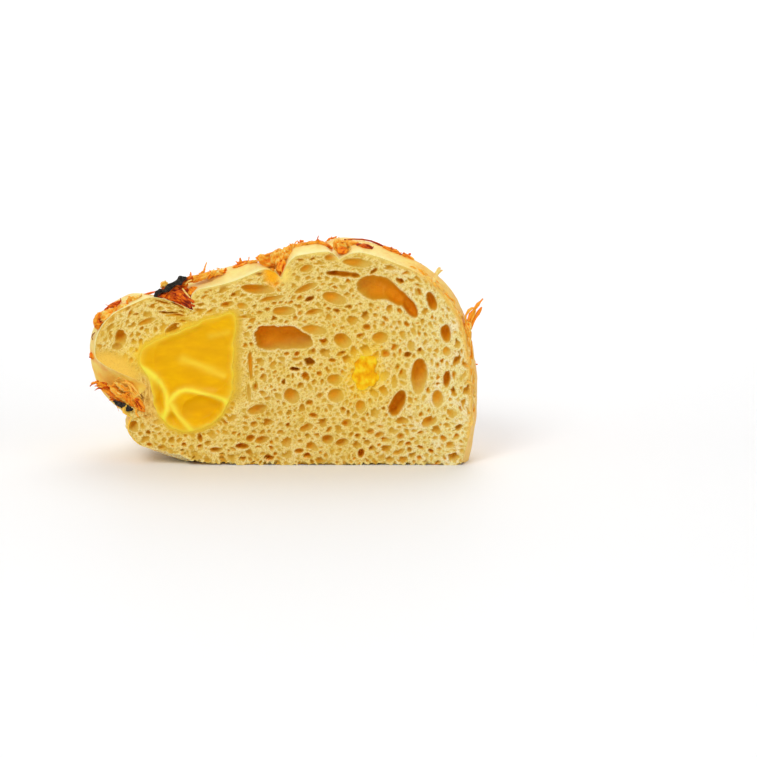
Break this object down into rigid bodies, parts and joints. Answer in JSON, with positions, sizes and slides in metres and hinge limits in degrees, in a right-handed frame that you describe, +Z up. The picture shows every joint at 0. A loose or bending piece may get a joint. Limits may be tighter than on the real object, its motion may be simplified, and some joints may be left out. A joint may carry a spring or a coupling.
{
  "type": "custard cream bread half",
  "caption": "Half of a soft bread with rolled strands on top, a flat cut face with open crumb, a custard filling, and shreds and seaweed flakes on the crust.",
  "frame": {"origin": "on the flat base, under the middle of the box of the half", "axes": "+X along the width of the cut face, -Y out of the cut face, +Z up"},
  "size_m": [0.1146, 0.048, 0.066],
  "materials": {
    "bread": "soft porous yellow crumb with a thin golden skin, shreds of orange floss and black seaweed flakes",
    "custard": "smooth glossy deep yellow custard"
  },
  "bodies": {
    "root": {"bread": "bread", "custard": "custard", "custard_spot": "custard"}
  },
  "joints": []
}
